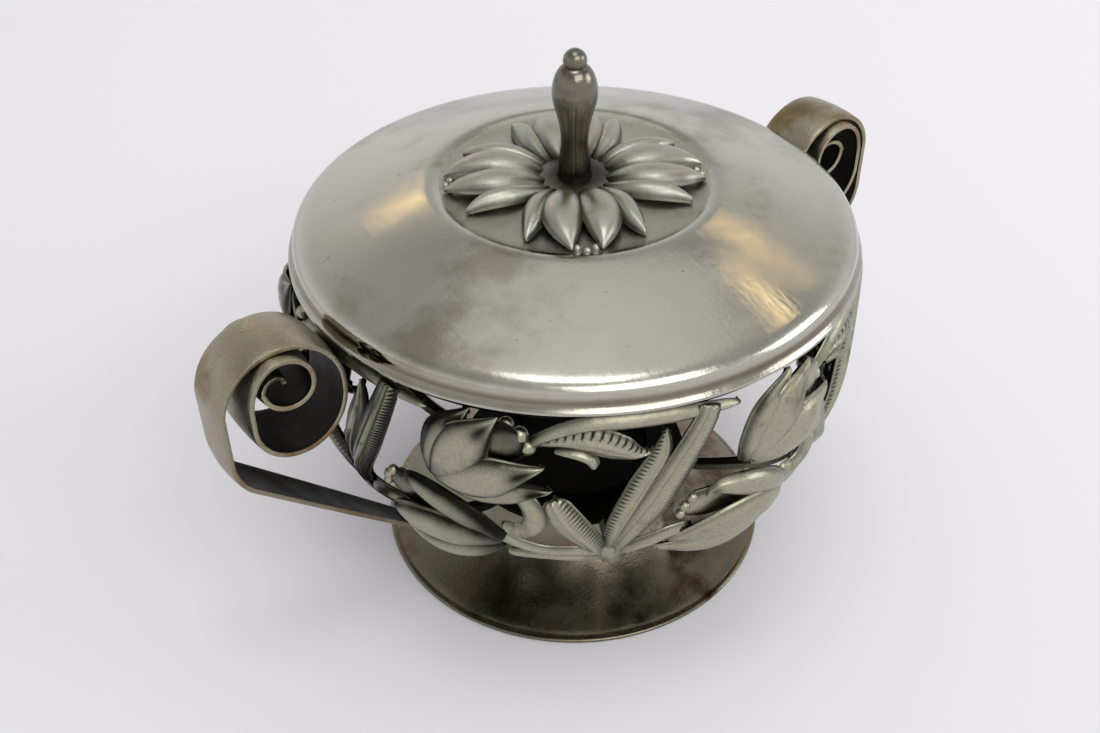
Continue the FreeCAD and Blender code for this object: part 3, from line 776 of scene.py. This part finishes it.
rosette = {"heads": 4, "firstTurn": -33.0, "floor": 92.0, "crown": 0.8, "edgeRadius": 29.0, "sheet": 1.6}
rosetteShape = {"rows": 44, "columns": 20, "rise": 2.4, "vein": 0.0, "dimple": 0.0, "tip": 0.30,
                "roundTip": 1.8, "fuller": 1.2,
                "rim": 0.04, "cutDepth": 0.0, "worn": 0.0, "edgeDark": 1.3, "rootDark": 0.75, "marks": None}
rosettePetals = {
    "leftPetal": ([(-14, 5.2, -1.2, 1.2), (-15, 11, 1.2, 3.0), (-13, 17, 2.0, 3.6), (-8.5, 23, 1.5, 2.4),
                   (-5.5, 27.0, 0.5, 0.6)], {}),
    "rightPetal": ([(14, 5.2, -1.2, 1.2), (15, 11, 1.2, 3.0), (13, 17, 2.0, 3.6), (9.5, 23, 1.5, 2.4),
                    (7, 27.0, 0.5, 0.6)], {}),
    "leftOuter": ([(-40, 6.0, -1.2, 1.0), (-34, 14, 0.9, 2.1), (-28, 20, 1.1, 2.0), (-26, 25.4, 0.4, 0.8)],
                  {}),
    "rightOuter": ([(40, 6.0, -1.2, 1.0), (34, 14, 0.9, 2.1), (29, 20, 1.1, 2.0), (28, 25.4, 0.4, 0.8)], {}),
}
rosetteBeads = [(-3.4, 25.6, 0.1, 0.75), (0.6, 26.4, 0.1, 0.8), (4.6, 25.6, 0.1, 0.75)]


def rosetteFrame(azimuth, radius, lift):
    return polar(radius, azimuth,
                 rosette["floor"] + rosette["crown"] * (1 - radius / rosette["edgeRadius"]) + lift), up


def addRosette():
    for index in range(rosette["heads"]):
        bm = buildTulip(rosettePetals, rosetteBeads, rosetteFrame, rosetteShape)
        turn = math.radians(rosette["firstTurn"] + index * 360 / rosette["heads"])
        bmesh.ops.rotate(bm, verts=bm.verts, cent=(0, 0, 0), matrix=Matrix.Rotation(turn, 3, "Z"))
        piece = finishPiece(bm, f"lidTulip.{index + 1}", "lid", "rosetteSilver",
                            [f"lid_tulip_{index + 1}"])
        addSheetBack(piece, rosette["sheet"])


addRosette()
print("rosette laid")


# knob

knobShape = {
    "steps": 40,
    "base": 92.75,
    "outline": [(3.85, 0.0), (3.8, 0.5), (3.55, 1.3), (3.45, 2.6), (3.1, 4.8), (2.8, 7.5), (2.8, 9.5),
                (3.1, 12.3), (3.75, 14.8),
                (4.4, 17.1), (4.72, 19.3), (4.4, 21.8), (3.4, 24.0), (2.45, 24.75), (1.95, 24.95),
                (1.75, 25.0)],
    "ballRadius": 2.4,
    "top": 121.0,
    "neckShade": 0.38,
    "bodyShade": 0.45,
    "shadeSpan": 9,
}


def addKnob(shape):
    outline = [(radius, shape["base"] + height) for radius, height in shape["outline"]]
    bm = spinProfile([(0, shape["base"])] + outline + [(0, outline[-1][1])], shape["steps"])
    paintedLightAndPatina = bm.verts.layers.float.new("paintedLightAndPatina")
    for vert in bm.verts:
        climb = (vert.co.z / mm - shape["base"]) / shape["shadeSpan"] - 1
        vert[paintedLightAndPatina] = shape["neckShade"] + shape["bodyShade"] * min(max(climb, 0), 1)
    addSubsurf(finishPiece(bm, "balusterKnob", "lid", "knobSilver", ["knob"]))
    ball = bmesh.new()
    bmesh.ops.create_uvsphere(ball, u_segments=32, v_segments=20, radius=shape["ballRadius"] * mm,
                              matrix=Matrix.Translation(
                                  Vector((0, 0, shape["top"] - shape["ballRadius"])) * mm))
    finishPiece(ball, "knobBall", "lid", "knobSilver", ["knob_ball"])


addKnob(knobShape)
print("knob turned")


# scroll handles

handleShape = {
    "sheet": 0.95,
    "crown": 0.5,
    "toe": (41.0, 21.4),
    "toeLength": 6.6,
    "toeRise": 0.9,
    "reach": 84.9,
    "cornerHeight": 57.8,
    "cornerRadius": 12.9,
    "voluteHeight": 73.2,
    "halfTurns": [(12.6, 0.0), (10.2, -2.1), (7.0, 6.3), (5.2, -0.6), (2.9, -0.8)],
    "widths": [2.9, 4.3, 5.4, 6.3, 7.0, 7.9, 8.3, 7.6, 6.4, 5.4, 4.4],
    "columns": 12,
    "toeSteps": 6,
    "runSteps": 26,
    "cornerSteps": 10,
    "turnSteps": 28,
    "toeShade": 0.62,
}


def handlePath(shape):
    toe = Vector((shape["toe"][0], 0, shape["toe"][1]))
    knee = toe + Vector((shape["toeLength"], 0, shape["toeRise"]))
    corner = Vector((shape["reach"], 0, shape["cornerHeight"]))
    run = corner - knee
    slope = math.atan2(run.z, run.x)
    toeSlope = math.atan2(shape["toeRise"], shape["toeLength"])
    setback = shape["cornerRadius"] * (1 - math.sin(slope)) / math.cos(slope)
    path = []
    for step in range(shape["toeSteps"]):
        share = step / shape["toeSteps"]
        lean = toeSlope + (slope - toeSlope) * share ** 2 * 0.5
        path.append((toe + (knee - toe) * share, Vector((math.sin(lean), 0, -math.cos(lean)))))
    straight = 1 - setback / run.length
    for step in range(shape["runSteps"]):
        share = step / shape["runSteps"]
        lean = slope - (slope - toeSlope) * 0.5 * max(1 - step / 4, 0)
        path.append((knee + run * share * straight, Vector((math.sin(lean), 0, -math.cos(lean)))))
    centre = Vector((shape["reach"] - shape["cornerRadius"], 0, corner.z + setback))
    for step in range(shape["cornerSteps"] + 1):
        angle = (slope - math.pi / 2) * (1 - step / shape["cornerSteps"])
        outward = Vector((math.cos(angle), 0, math.sin(angle)))
        path.append((centre + outward * shape["cornerRadius"], outward))
    reach, height, side = shape["reach"], shape["voluteHeight"], 1
    for radius, rise in shape["halfTurns"]:
        start = height
        height += rise
        centre = Vector((reach - side * radius, 0, height))
        for step in range(1, shape["turnSteps"] + 1):
            share = step / shape["turnSteps"]
            angle = math.pi * share
            outward = Vector((side * math.cos(angle), 0, side * math.sin(angle)))
            easing = (start - height) * max(1 - 2 * share, 0) ** 2
            path.append((centre + outward * radius + up * easing * 0.5, outward))
        reach -= side * 2 * radius
        side = -side
    return path


def addHandle(name, nodeName, turn):
    shape = handleShape
    path = handlePath(shape)
    rows = len(path) - 1
    bm = bmesh.new()
    paintedLightAndPatina = bm.verts.layers.float.new("paintedLightAndPatina")
    bmesh.ops.create_grid(bm, x_segments=rows, y_segments=shape["columns"], size=1)
    for vert in bm.verts:
        row = round((vert.co.x + 1) / 2 * rows)
        across = vert.co.y
        point, outward = path[row]
        half = along(shape["widths"], row / rows)
        vert.co = (point + Vector((0, half * across, 0)) + outward * shape["crown"] * (1 - across ** 2)) * mm
        vert[paintedLightAndPatina] = shape["toeShade"] + (1 - shape["toeShade"]) * min(max(row / rows * 3 - 0.45, 0), 1)
    bmesh.ops.reverse_faces(bm, faces=bm.faces)
    bmesh.ops.rotate(bm, verts=bm.verts, cent=(0, 0, 0), matrix=Matrix.Rotation(turn, 3, "Z"))
    piece = finishPiece(bm, name, "bowl", "handleSilver", [nodeName])
    addSheetBack(piece, shape["sheet"], "insidePaintedShade")


addHandle("scrollHandle.right", "handle_right", 0)
addHandle("scrollHandle.left", "handle_left", math.pi)
print("handles rolled")


# solids that keep their own shape

# painted shade: these inner parts get the near-black inside finish
keptSolids = {"names": ["floor_plate", "liner_ring", "rim_ring", "lid_bezel", "knob_nut"],
              "finish": "insidePaintedShade"}
for nodeName in keptSolids["names"]:
    for slot in nodes[nodeName].material_slots:
        slot.material = silver[keptSolids["finish"]]
print("kept solids finished")
